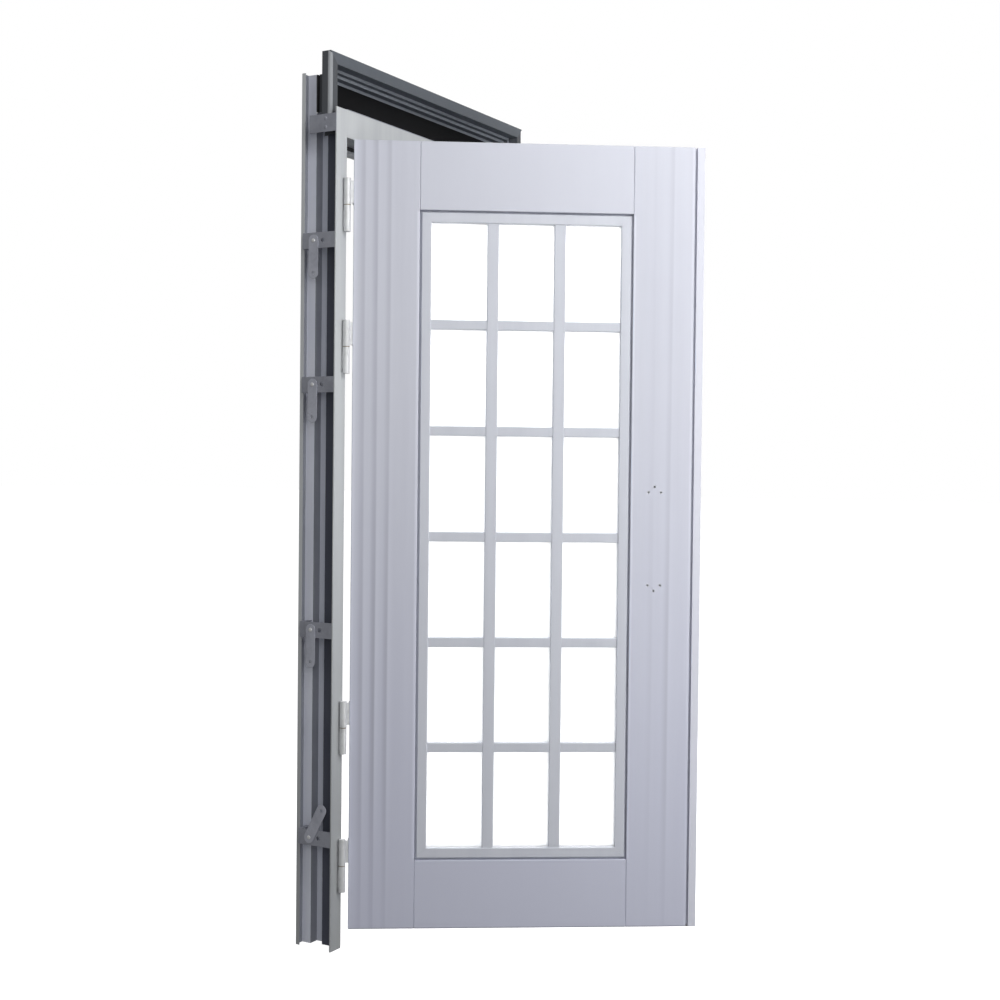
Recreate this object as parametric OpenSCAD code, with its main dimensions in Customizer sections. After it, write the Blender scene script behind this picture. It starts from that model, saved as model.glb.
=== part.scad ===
// Hinged glass door in a folded steel frame with an over panel, leaf standing open.
// X runs along the wall, Y runs from the front face to the rear, Z is up from the jamb feet.

/* [Leaf] */
// Leaf width, hinge edge to lock edge
leaf_w = 918; // [700:1:1100]
// Leaf height
leaf_h = 2056; // [1800:1:2300]
// Leaf thickness
leaf_t = 53; // [44:1:65]
// Height of the leaf's lower edge above the jamb feet
leaf_lift = 50; // [20:1:120]
// Angle the leaf stands open, from the closed door
open_deg = 57; // [0:1:100]
// Width of the stile at the hinge edge
hinge_stile_w = 172; // [120:1:220]
// Width of the stile at the lock edge, with the edge strip
lock_stile_w = 187; // [130:1:230]
// Height of the top rail
top_rail_h = 178; // [120:1:260]
// Height of the bottom rail
bottom_rail_h = 180; // [120:1:300]
// Sheet thickness of the leaf skins
skin_t = 1.2; // [0.8:0.1:2]
// Width of the strip along the lock edge
edge_strip_w = 20; // [14:1:34]
// Width of the shadow groove beside the strip
edge_groove_w = 6; // [2:0.5:8]

/* [Glazing] */
// Panes across
pane_cols = 3; // [2:1:4]
// Panes up
pane_rows = 6; // [3:1:8]
// Visible width of the glazing bead
bead_w = 31; // [20:1:40]
// Width of an upright glazing bar
bar_v_w = 30; // [16:1:40]
// Width of a cross glazing bar
bar_h_w = 25; // [14:1:36]
// Glass thickness
glass_t = 6; // [4:1:10]
// Thickness of each glazing gasket
gasket_t = 2.5; // [1.5:0.5:4]
// Open joint at each bead mitre
mitre_gap = 0.15; // [0.1:0.05:0.5]
// Setback of the bead from the leaf's face
bead_set = 4; // [1:0.5:8]
// Width of the shadow groove between bead and leaf
bead_groove_w = 5; // [2:0.5:8]
// Depth of that groove behind the bead's face
bead_groove_d = 9; // [3:0.5:11]

/* [Frame] */
// Depth of the frame through the wall
frame_d = 119; // [110:1:200]
// Front face width of a jamb
jamb_face = 46; // [38:1:80]
// Front face height of the head
head_face = 71; // [50:1:120]
// Sheet thickness of the frame
sheet_t = 1.5; // [1:0.1:2.5]
// Gap between leaf and frame, all round
leaf_gap = 5; // [4:0.5:8]
// Projection of the stop into the opening
stop_w = 20; // [14:1:30]
// Width of the stop through the wall
stop_d = 34; // [24:1:40]
// Depth of the front return
return_d = 4; // [3:0.5:18]
// Thickness of the stop seal
seal_t = 4; // [3:0.5:5]
// Length of each leg of a corner cleat
cleat_l = 40; // [20:1:45]
// Depth of the tie plate at the top of a jamb
tie_w = 84; // [40:1:100]
// Height of the tie plate
tie_h = 46; // [30:1:60]
// Distance of the tie plate below the frame's top
tie_drop = 16; // [5:1:40]

/* [Over panel] */
// Height of the over panel frame
over_h = 144; // [110:1:400]
// Set back of the over panel frame from the front face
over_set = 20; // [10:1:36]
// Face width of the over panel frame
over_face = 30; // [24:1:45]
// Depths of the steps behind that face, from the front
over_steps = [31, 15, 21];
// Width of each step
over_step_w = 8; // [5:0.5:10]
// Depth of the outer return of the over panel frame
over_return = 28; // [15:1:35]
// Thickness of the over panel
panel_t = 6; // [3:1:8]
// Thickness of the plate closing the top of the frame
cap_t = 2; // [1.5:0.5:4]

/* [Hinges] */
// Heights of the hinge centres above the leaf's lower edge, as shares of the leaf height
hinge_share = [0.0826, 0.2582, 0.7392, 0.9169];
// Barrel radius
barrel_r = 9; // [8:0.5:12]
// Barrel length, both halves
barrel_l = 138; // [90:1:180]
// Pin radius
pin_r = 5; // [4:0.5:6]
// Radial play of the upper half on its pin
pin_play = 0.05; // [0.02:0.01:0.1]
// Distance of the hinge axis in front of the frame's face
axis_out = 10; // [9:0.5:16]
// Distance of the hinge axis from the leaf's edge
axis_side = 15.7; // [14:0.1:24]
// Depth of the hinge plate along the leaf's edge
hinge_plate_d = 32; // [20:1:36]

/* [Anchors] */
// Heights of the wall anchors above the jamb feet, as shares of the leaf height
anchor_share = [0.1418, 0.4057, 0.7156, 0.8967];
// Turn of each anchor strap on the hinge jamb, from hanging straight down
strap_turn = [208, 0, 0, 0];
// Height of an anchor bracket
bracket_h = 41; // [30:1:60]
// Length of an anchor strap between its hole centres
strap_l = 84; // [50:1:120]
// Width of an anchor strap
strap_w = 30; // [20:1:40]
// Sheet thickness of brackets and straps
anchor_t = 2; // [1.5:0.5:3]
// Radius of the anchor rivet shank
rivet_r = 3; // [2:0.1:4]
// Radial play of a strap on its rivet
strap_play = 0.08; // [0.02:0.01:0.1]

/* [Hidden] */
$fn = 48;
half_w = leaf_w / 2 + leaf_gap + jamb_face;
open_x = half_w - jamb_face;
frame_top = leaf_lift + leaf_h + leaf_gap + head_face;
over_base = frame_top + cap_t;
over_top = over_base + over_h;
stop_y = leaf_t + leaf_gap;
back_y = stop_y + stop_d;
back_set = 8;
lip_in = 10;
groove_d = leaf_t * 0.3;
axis_x = -leaf_w / 2 - axis_side;
axis_y = -axis_out;
glaze_w = leaf_w - hinge_stile_w - lock_stile_w;
glaze_h = leaf_h - top_rail_h - bottom_rail_h;
sight_w = glaze_w - 2 * bead_w;
sight_h = glaze_h - 2 * bead_w;
pane_w = (sight_w - (pane_cols - 1) * bar_v_w) / pane_cols;
pane_h = (sight_h - (pane_rows - 1) * bar_h_w) / pane_rows;
glass_y = leaf_t / 2 - glass_t / 2;
bite = 10;
hinge_z = [for (s = hinge_share) leaf_lift + s * leaf_h];
anchor_z = [for (s = anchor_share) s * leaf_h];
rivet_y = 70;
hole_y = 42;
ext_h = over_h * 0.69;

// Joins a fold path and its copy one sheet thickness to the left into a closed outline
function unit(a, b) = (b - a) / norm(b - a);
function left(d) = [-d[1], d[0]];
function shifted(p, t) = [for (i = [0 : len(p) - 1])
    i == 0 ? p[0] + t * left(unit(p[0], p[1]))
    : i == len(p) - 1 ? p[i] + t * left(unit(p[i - 1], p[i]))
    : p[i] + t * (left(unit(p[i - 1], p[i])) + left(unit(p[i], p[i + 1])))];
function folded(p, t) = let (s = shifted(p, t), n = len(p))
    concat(p, [for (i = [n - 1 : -1 : 0]) s[i]]);

// Fold path of the door frame for a given face width
function frame_path(f) = [
    [0, return_d], [0, 0], [f, 0], [f, stop_y], [f + stop_w, stop_y], [f + stop_w, back_y],
    [f - back_set, back_y], [f - back_set, frame_d], [lip_in, frame_d], [lip_in, frame_d - 12]];

// Rear half of the jamb, which runs on upward behind the over panel frame
function rear_path(f) = [
    [f - back_set, back_y], [f - back_set, frame_d], [lip_in, frame_d], [lip_in, frame_d - 12]];

// Fold path of the stepped over panel frame
over_y2 = over_set + over_steps[0];
over_y3 = over_y2 + over_steps[1];
over_y4 = over_y3 + over_steps[2];
over_in = over_face + 2 * over_step_w;
over_path = [
    [0, over_set + over_return], [0, over_set], [over_face, over_set], [over_face, over_y2],
    [over_face + over_step_w, over_y2], [over_face + over_step_w, over_y3], [over_in, over_y3],
    [over_in, over_y4], [over_in + over_step_w, over_y4]];

// Space behind the jamb's fold path, cut from the ends of the head
module jamb_fill(f) {
    polygon([[-5, -5], [f, -5], [f, stop_y], [f + stop_w, stop_y], [f + stop_w, back_y],
        [f - back_set, back_y], [f - back_set, frame_d + 5], [-5, frame_d + 5]]);
}

// Stands a section drawn from the outer edge inward at the hinge side of the frame
module at_hinge_side(z) {
    translate([-half_w, 0, z]) children();
}

// Same at the lock side
module at_lock_side(z) {
    mirror([1, 0, 0]) at_hinge_side(z) children();
}

// Turns a part drawn in the closed leaf to the open leaf
module on_leaf() {
    translate([axis_x, axis_y, 0]) rotate([0, 0, -open_deg]) translate([-axis_x, -axis_y, 0])
        translate([-leaf_w / 2, 0, leaf_lift]) children();
}

module jamb_bar() {
    difference() {
        union() {
            linear_extrude(frame_top) polygon(folded(frame_path(jamb_face), sheet_t));
            translate([0, 0, frame_top])
                linear_extrude(ext_h) polygon(folded(rear_path(jamb_face), sheet_t));
        }
        // slots where the hinge tabs are welded
        for (z = hinge_z)
            translate([half_w + axis_x - 4, -1, z - barrel_l / 2 + 12])
                cube([8, sheet_t + 2, barrel_l / 2 - 25]);
    }
}

module hinge_jamb() {
    color("#b9bdc4") at_hinge_side(0) jamb_bar();
}

module lock_jamb() {
    color("#b9bdc4") at_lock_side(0)
        union() {
            linear_extrude(frame_top) polygon(folded(frame_path(jamb_face), sheet_t));
            translate([0, 0, frame_top])
                linear_extrude(ext_h) polygon(folded(rear_path(jamb_face), sheet_t));
        }
}

// A bar along X from a section drawn downward from a top level
module lying_bar(top, path, t) {
    translate([half_w, 0, top]) rotate([0, -90, 0]) mirror([1, 0, 0])
        linear_extrude(2 * half_w) polygon(folded(path, t));
}

module frame_head() {
    color("#b9bdc4") difference() {
        lying_bar(frame_top, frame_path(head_face), sheet_t);
        for (m = [0, 1]) mirror([m, 0, 0])
            at_hinge_side(0) linear_extrude(frame_top + 5) jamb_fill(jamb_face);
    }
}

// Plate on the head, which bears on the inner webs of both jambs
module frame_cap() {
    reach = open_x + sheet_t;
    color("#9ba0a6") translate([-reach, 0, frame_top]) cube([2 * reach, frame_d, cap_t]);
}

module stop_seal() {
    inner = open_x - 3;
    color("#26282b") translate([0, stop_y - seal_t, 0]) {
        for (m = [0, 1]) mirror([m, 0, 0])
            translate([-inner, 0, leaf_lift]) cube([10, seal_t, leaf_h + leaf_gap - 13]);
        translate([-inner, 0, leaf_lift + leaf_h + leaf_gap - 13]) cube([2 * inner, seal_t, 10]);
    }
}

// Leg of the over panel frame, whose foot reaches down inside the jamb to the tie plate
module over_leg() {
    foot = frame_top - tie_drop - tie_h;
    difference() {
        translate([-half_w, 0, foot]) linear_extrude(over_top - foot) polygon(folded(over_path, sheet_t));
        translate([-half_w - 1, over_y3 - sheet_t, foot - 1])
            cube([jamb_face + stop_w, frame_d, over_base - foot + 1]);
        translate([-half_w, 0, over_top]) rotate([0, 45, 0])
            translate([-over_h, -frame_d, 0]) cube([3 * over_h, 3 * frame_d, 2 * over_h]);
    }
}

module over_leg_hinge() {
    color("#5b6067") over_leg();
}

module over_leg_lock() {
    color("#5b6067") mirror([1, 0, 0]) over_leg();
}

module over_head() {
    color("#5b6067") difference() {
        lying_bar(over_top, over_path, sheet_t);
        for (m = [0, 1]) mirror([m, 0, 0])
            translate([-half_w, 0, over_top]) rotate([0, 45, 0])
                translate([-over_h, -frame_d, -2 * over_h]) cube([3 * over_h, 3 * frame_d, 2 * over_h]);
    }
}

// Panel behind the innermost flange of the stepped frame
module over_panel() {
    reach = half_w - over_in;
    color("#141518") translate([-reach, over_y4 + sheet_t, over_base])
        cube([2 * reach, panel_t, over_h - over_in]);
}

tie_rivet_y = over_set + over_return / 2;
tie_rivet_z = [for (s = [0.26, 0.74]) frame_top - tie_drop - tie_h * s];

module tie_plate() {
    translate([-half_w - anchor_t, 1, frame_top - tie_drop - tie_h]) cube([anchor_t, tie_w, tie_h]);
}

module tie_plates() {
    color("#7d8187") for (m = [0, 1]) mirror([m, 0, 0]) difference() {
        tie_plate();
        for (z = tie_rivet_z)
            translate([-half_w - anchor_t - 1, tie_rivet_y, z]) rotate([0, 90, 0])
                cylinder(r = rivet_r, h = anchor_t + 2);
    }
}

module tie_rivets() {
    color("#a4a8ad") for (m = [0, 1]) mirror([m, 0, 0])
        for (z = tie_rivet_z)
            translate([-half_w - anchor_t - 1.5, tie_rivet_y, z]) rotate([0, 90, 0]) {
                cylinder(r = rivet_r + 2, h = 1.5);
                cylinder(r = rivet_r, h = anchor_t + 1.5);
            }
}

// Bracket across the open back of a jamb, with a fixing hole and a rivet hole
module bracket() {
    reach = jamb_face - back_set - sheet_t;
    bracket_end = (back_y + frame_d) / 2;
    difference() {
        union() {
            translate([0, return_d, -bracket_h / 2])
                cube([anchor_t, bracket_end - return_d, bracket_h]);
            for (z = [-bracket_h / 2, bracket_h / 2 - anchor_t])
                translate([0, back_y + sheet_t, z])
                    cube([reach, bracket_end - back_y - sheet_t, anchor_t]);
        }
        translate([-1, hole_y, 0]) rotate([0, 90, 0]) cylinder(r = 5.5, h = anchor_t + 2);
        translate([-1, rivet_y, 0]) rotate([0, 90, 0]) cylinder(r = rivet_r, h = anchor_t + 2);
    }
}

module brackets_hinge() {
    color("#868a90") for (z = anchor_z) at_hinge_side(z) bracket();
}

module brackets_lock() {
    color("#868a90") for (z = anchor_z) at_lock_side(z) bracket();
}

strap_off = 0.3;

module anchor_rivet() {
    translate([-anchor_t - 2 * strap_off - 1.6, rivet_y, 0]) rotate([0, 90, 0]) {
        cylinder(r = rivet_r + 2.5, h = 1.6);
        cylinder(r = rivet_r, h = 2 * anchor_t + 2 * strap_off + 1.6);
    }
}

module anchor_rivets() {
    color("#a4a8ad") for (m = [0, 1]) mirror([m, 0, 0])
        for (z = anchor_z) at_hinge_side(z) anchor_rivet();
}

// Strap that swings on its rivet, hanging down before it is turned
module strap(turn) {
    translate([-anchor_t - strap_off, rivet_y, 0]) rotate([turn, 0, 0])
        difference() {
            union() {
                translate([0, -strap_w / 2, -strap_l]) cube([anchor_t, strap_w, strap_l]);
                for (z = [0, -strap_l])
                    translate([0, 0, z]) rotate([0, 90, 0]) cylinder(r = strap_w / 2, h = anchor_t);
            }
            translate([-1, 0, 0]) rotate([0, 90, 0])
                cylinder(r = rivet_r + strap_play, h = anchor_t + 2);
            translate([-1, 0, -strap_l]) rotate([0, 90, 0]) cylinder(r = 4.5, h = anchor_t + 2);
        }
}

module strap_h1() {
    color("#9a9ea4") at_hinge_side(anchor_z[0]) strap(strap_turn[0]);
}

module strap_h2() {
    color("#9a9ea4") at_hinge_side(anchor_z[1]) strap(strap_turn[1]);
}

module strap_h3() {
    color("#9a9ea4") at_hinge_side(anchor_z[2]) strap(strap_turn[2]);
}

module strap_h4() {
    color("#9a9ea4") at_hinge_side(anchor_z[3]) strap(strap_turn[3]);
}

module strap_l1() {
    color("#9a9ea4") at_lock_side(anchor_z[0]) strap(0);
}

module strap_l2() {
    color("#9a9ea4") at_lock_side(anchor_z[1]) strap(0);
}

module strap_l3() {
    color("#9a9ea4") at_lock_side(anchor_z[2]) strap(0);
}

module strap_l4() {
    color("#9a9ea4") at_lock_side(anchor_z[3]) strap(0);
}

// Angle cleats that join the head to the jambs inside the head
module corner_cleats() {
    low = frame_top - head_face + sheet_t;
    color("#868a90") for (m = [0, 1]) mirror([m, 0, 0])
        translate([-open_x, sheet_t, low]) {
            cube([anchor_t, cleat_l, head_face - 2 * sheet_t]);
            cube([cleat_l, anchor_t, head_face - 2 * sheet_t]);
        }
}

// Lower hinge half: barrel with a tab welded through the jamb's face
module hinge_lower() {
    color("#c9ccd0") for (z = hinge_z) translate([axis_x, axis_y, z]) difference() {
        union() {
            translate([0, 0, -barrel_l / 2]) cylinder(r = barrel_r, h = barrel_l / 2 - 1);
            translate([-4, 0, -barrel_l / 2 + 12]) cube([8, axis_out + sheet_t, barrel_l / 2 - 25]);
        }
        translate([0, 0, -barrel_l / 2 + 6]) cylinder(r = pin_r, h = barrel_l / 2);
    }
}

module hinge_pins() {
    color("#d8dadd") for (z = hinge_z) translate([axis_x, axis_y, z - barrel_l / 2 + 6]) {
        cylinder(r = pin_r, h = barrel_l - 16);
        translate([0, 0, barrel_l - 16]) cylinder(r1 = pin_r, r2 = pin_r - 2, h = 2);
    }
}

module hinge_washers() {
    color("#b08d4c") for (z = hinge_z) translate([axis_x, axis_y, z - 1]) difference() {
        cylinder(r = barrel_r, h = 1.7);
        translate([0, 0, -1]) cylinder(r = pin_r + 0.2, h = 4);
    }
}

// Upper hinge half: barrel with a plate let along the leaf's edge
module hinge_upper() {
    plate_t = 3;
    color("#c9ccd0") for (s = hinge_share) on_leaf()
        translate([-axis_side, -axis_out, s * leaf_h]) difference() {
            union() {
                translate([0, 0, 1]) cylinder(r = barrel_r, h = barrel_l / 2 - 1);
                translate([0, axis_out - 4, 6])
                    cube([axis_side, plate_t + 0.3, barrel_l / 2 - 11]);
                translate([axis_side - plate_t, axis_out - 4, 6])
                    cube([plate_t, hinge_plate_d, barrel_l / 2 - 11]);
            }
            translate([0, 0, -1]) cylinder(r = pin_r + pin_play, h = barrel_l / 2 - 5);
        }
}

// Folded box of the leaf, open inside
module tube(size) {
    difference() {
        cube(size);
        translate([skin_t, skin_t, skin_t])
            cube([size[0] - 2 * skin_t, size[1] - 2 * skin_t, size[2] - 2 * skin_t]);
    }
}

module hinge_stile() {
    color("#cfd2dc") on_leaf() tube([hinge_stile_w, leaf_t, leaf_h]);
}

lock_face = leaf_w - lock_stile_w;
groove_x = leaf_w - edge_strip_w - edge_groove_w;
grip_x = lock_face + (lock_stile_w - edge_strip_w) * 0.385;
grip_z = leaf_h * 0.4999;
grip_rise = 122.4;

// Screw holes of the two handle roses
module grip_holes() {
    for (s = [-1, 1])
        for (p = [[-16.5, 0], [16.5, 0], [0, 14.5]])
            translate([grip_x + p[0], -1, grip_z + s * (grip_rise + p[1])]) rotate([-90, 0, 0])
                cylinder(r = 2.5, h = skin_t + 2);
}

module lock_stile() {
    color("#cfd2dc") on_leaf() difference() {
        translate([lock_face, 0, 0]) tube([groove_x - lock_face, leaf_t, leaf_h]);
        grip_holes();
    }
}

// Strip along the lock edge: a folded box with two flanges that carry it on the stile
module edge_strip() {
    box_x = groove_x + edge_groove_w;
    color("#dcdfe6") on_leaf() {
        translate([box_x, 0, 0]) tube([edge_strip_w, leaf_t, leaf_h]);
        for (y = [groove_d, leaf_t - skin_t])
            translate([groove_x, y, 0]) cube([edge_groove_w + skin_t, skin_t, leaf_h]);
    }
}

module top_rail() {
    color("#cfd2dc") on_leaf()
        translate([hinge_stile_w, 0, leaf_h - top_rail_h]) tube([glaze_w, leaf_t, top_rail_h]);
}

module bottom_rail() {
    color("#cfd2dc") on_leaf() translate([hinge_stile_w, 0, 0]) tube([glaze_w, leaf_t, bottom_rail_h]);
}

module leaf_sweep() {
    color("#26282b") on_leaf() translate([4, leaf_t / 2 - 4, -6]) cube([leaf_w - 8, 8, 6]);
}

module glass_sheet() {
    color("#dfeaea", 0.3) on_leaf()
        translate([hinge_stile_w + bead_w - bite, glass_y, bottom_rail_h + bead_w - bite])
            cube([sight_w + 2 * bite, glass_t, sight_h + 2 * bite]);
}

// Flat outline of a bar with mitred ends, from a start line to its inner edge
module mitred(length, start, w) {
    g = mitre_gap;
    polygon([[start + g, start], [length - start - g, start], [length - w - g, w], [w + g, w]]);
}

// One bead along the lower edge of a frame: a base against the leaf and a narrower face
module bead_bar(length, w, d) {
    linear_extrude(d - bead_groove_d) mitred(length, 0, w);
    translate([0, 0, d - bead_groove_d]) linear_extrude(bead_groove_d) mitred(length, bead_groove_w, w);
}

// Four mitred bars around an opening, drawn flat
module bead_ring(w, h, b, d) {
    bead_bar(w, b, d);
    translate([w, h, 0]) rotate([0, 0, 180]) bead_bar(w, b, d);
    translate([w, 0, 0]) rotate([0, 0, 90]) bead_bar(h, b, d);
    translate([0, h, 0]) rotate([0, 0, -90]) bead_bar(h, b, d);
}

// Stands a flat ring upright in the glazing opening at a depth
module in_glazing(y) {
    on_leaf() translate([hinge_stile_w, y, bottom_rail_h]) rotate([90, 0, 0]) children();
}

// Same at the rear face, with the ring's front turned to the rear
module in_rear_glazing() {
    on_leaf() translate([hinge_stile_w, glass_y + glass_t + gasket_t, bottom_rail_h])
        mirror([0, 1, 0]) rotate([90, 0, 0]) children();
}

bead_d = glass_y - gasket_t - bead_set;

module front_beads() {
    color("#c8ced0") in_glazing(glass_y - gasket_t) bead_ring(glaze_w, glaze_h, bead_w, bead_d);
}

module rear_beads() {
    color("#c8ced0") in_rear_glazing() bead_ring(glaze_w, glaze_h, bead_w, bead_d);
}

module gasket_ring() {
    linear_extrude(gasket_t) difference() {
        translate([bead_w - bite, bead_w - bite]) square([sight_w + 2 * bite, sight_h + 2 * bite]);
        translate([bead_w - 2, bead_w - 2]) square([sight_w + 4, sight_h + 4]);
    }
}

module front_gasket() {
    color("#26282b") in_glazing(glass_y) gasket_ring();
}

module rear_gasket() {
    color("#26282b") in_glazing(glass_y + glass_t + gasket_t) gasket_ring();
}

bar_d = glass_y - bead_set - 2;

module uprights() {
    for (i = [1 : pane_cols - 1])
        translate([bead_w + i * pane_w + (i - 1) * bar_v_w, bead_w, 0])
            cube([bar_v_w, sight_h, bar_d]);
}

module crossbars() {
    for (i = [0 : pane_cols - 1])
        for (j = [1 : pane_rows - 1])
            translate([bead_w + i * (pane_w + bar_v_w), bead_w + j * pane_h + (j - 1) * bar_h_w, 0])
                cube([pane_w, bar_h_w, bar_d - 1]);
}

module front_uprights() {
    color("#c8ced0") in_glazing(glass_y) uprights();
}

module front_crossbars() {
    color("#c8ced0") in_glazing(glass_y) crossbars();
}

module rear_uprights() {
    color("#c8ced0") in_glazing(leaf_t - bead_set - 2) uprights();
}

module rear_crossbars() {
    color("#c8ced0") in_glazing(glass_y + glass_t + bar_d - 1) crossbars();
}

hinge_jamb();
lock_jamb();
frame_head();
frame_cap();
stop_seal();
over_leg_hinge();
over_leg_lock();
over_head();
over_panel();
tie_plates();
tie_rivets();
brackets_hinge();
brackets_lock();
anchor_rivets();
corner_cleats();
hinge_lower();
hinge_pins();
hinge_washers();
hinge_upper();
hinge_stile();
lock_stile();
edge_strip();
top_rail();
bottom_rail();
glass_sheet();
front_beads();
rear_beads();
front_gasket();
rear_gasket();
front_uprights();
front_crossbars();
rear_uprights();
rear_crossbars();
leaf_sweep();
strap_h1();
strap_h2();
strap_h3();
strap_h4();
strap_l1();
strap_l2();
strap_l3();
strap_l4();
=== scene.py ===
"""Looks of a hinged glass door that stands open in its folded steel frame."""

import logging
import math
from dataclasses import dataclass
from enum import Enum, IntEnum
from typing import Callable, Sequence, Union

import bmesh
import bpy
from mathutils import Matrix, Vector


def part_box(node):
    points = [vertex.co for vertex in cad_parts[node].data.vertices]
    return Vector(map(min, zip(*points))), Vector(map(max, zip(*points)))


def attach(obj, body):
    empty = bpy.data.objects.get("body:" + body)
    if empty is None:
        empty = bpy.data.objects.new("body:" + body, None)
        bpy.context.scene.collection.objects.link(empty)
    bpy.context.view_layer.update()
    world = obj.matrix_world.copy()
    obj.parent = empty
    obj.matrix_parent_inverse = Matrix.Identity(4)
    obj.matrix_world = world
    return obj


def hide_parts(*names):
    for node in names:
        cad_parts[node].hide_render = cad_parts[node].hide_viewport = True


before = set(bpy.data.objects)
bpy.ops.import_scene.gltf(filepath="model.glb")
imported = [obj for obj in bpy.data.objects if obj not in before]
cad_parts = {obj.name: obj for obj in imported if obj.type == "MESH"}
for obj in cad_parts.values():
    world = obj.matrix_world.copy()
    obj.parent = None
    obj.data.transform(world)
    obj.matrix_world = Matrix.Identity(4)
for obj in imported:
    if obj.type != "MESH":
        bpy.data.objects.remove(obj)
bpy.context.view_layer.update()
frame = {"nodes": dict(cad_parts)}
LOG = logging.getLogger("glass_door")

Colour = tuple[float, float, float]
Point = tuple[float, float, float]
Span = tuple[float, float]
Material = bpy.types.Material
Piece = bpy.types.Object
Socket = bpy.types.NodeSocket

ORIGIN: Point = (0.0, 0.0, 0.0)
HALF_WIDTH = 0.510
OPEN_DEG = 57.0
HINGE_AXIS = Vector((-0.4747, -0.010, 0.0))
LEAF_CORNER = Vector((-0.459, 0.0, 0.050))
WELD_DISTANCE = 2e-6
FLAT_ANGLE = math.radians(0.5)
SHARP_ANGLE = math.radians(30.0)


class Body(Enum):
    """Rigid bodies that the pieces ride on."""

    FRAME = "frame"
    LEAF = "leaf"
    STRAP_H1 = "strap_h1_body"
    STRAP_H2 = "strap_h2_body"
    STRAP_H3 = "strap_h3_body"
    STRAP_H4 = "strap_h4_body"
    STRAP_L1 = "strap_l1_body"
    STRAP_L2 = "strap_l2_body"
    STRAP_L3 = "strap_l3_body"
    STRAP_L4 = "strap_l4_body"


class Slot(Enum):
    """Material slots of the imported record."""

    FRAME = "frame_paint"
    SHEET = "galvanised_sheet"
    OVER = "over_frame_paint"
    PANEL = "over_panel_black"
    SEAL = "seal_rubber"
    STEEL = "bright_steel"
    WASHER = "washer_brass"
    STRAP = "strap_steel"
    LEAF = "leaf_paint"
    GLASS = "satin_glass"
    BAR = "bar_aluminium"


class Signal:
    """A shader value that takes part in Python arithmetic."""

    def __init__(self, graph: "Graph", socket: Socket) -> None:
        """Keeps the graph and the output socket that carries the value."""
        self.graph = graph
        self.socket = socket

    def _math(self, operation: str, first: "Value", second: "Value") -> "Signal":
        """Adds one Math node.

        Args:
            operation: Name of the Math node's operation.
            first: Its first operand.
            second: Its second operand.

        Returns:
            The node's result.
        """
        node = self.graph.node("ShaderNodeMath", {"operation": operation}, {0: first, 1: second})
        return Signal(self.graph, node.outputs[0])

    def __add__(self, other: "Value") -> "Signal":
        """Sum of two values."""
        return self._math("ADD", self, other)

    __radd__ = __add__

    def __sub__(self, other: "Value") -> "Signal":
        """Difference of two values."""
        return self._math("SUBTRACT", self, other)

    def __rsub__(self, other: "Value") -> "Signal":
        """Difference with the value on the right."""
        return self._math("SUBTRACT", other, self)

    def __mul__(self, other: "Value") -> "Signal":
        """Product of two values."""
        return self._math("MULTIPLY", self, other)

    __rmul__ = __mul__

    def __abs__(self) -> "Signal":
        """Size of the value without its sign."""
        return self._math("ABSOLUTE", self, 0.0)

    def band(self, low: float, high: float) -> "Signal":
        """Smooth step from 0 at low to 1 at high.

        Args:
            low: Value that gives 0.
            high: Value that gives 1.

        Returns:
            The eased share between them.
        """
        node = self.graph.node(
            "ShaderNodeMapRange", {"interpolation_type": "SMOOTHSTEP"},
            {"Value": self, "From Min": low, "From Max": high})
        return Signal(self.graph, node.outputs["Result"])


Value = Union[Signal, Socket, float, Sequence[float]]


class NodeWork:
    """A node tree that takes new nodes."""

    def __init__(self, tree: bpy.types.NodeTree) -> None:
        """Keeps the tree."""
        self.tree = tree

    def node(self, kind: str, settings: dict | None = None,
             sockets: dict[Union[str, int], "Value"] | None = None) -> bpy.types.Node:
        """Adds a node.

        Args:
            kind: Type name of the node.
            settings: Values of its own settings.
            sockets: Values or links of its inputs, by name or number.

        Returns:
            The new node.
        """
        made = self.tree.nodes.new(kind)
        for key, value in (settings or {}).items():
            setattr(made, key, value)
        for key, value in (sockets or {}).items():
            self.feed(made.inputs[key], value)
        return made

    def feed(self, target: Socket, value: "Value") -> None:
        """Links or sets one input.

        Args:
            target: The input socket.
            value: A signal, a socket or a plain value.
        """
        if isinstance(value, Signal):
            value = value.socket
        if isinstance(value, Socket):
            self.tree.links.new(value, target)
        elif target.type == "RGBA" and len(value) == 3:
            target.default_value = (*value, 1.0)
        else:
            target.default_value = value


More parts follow.
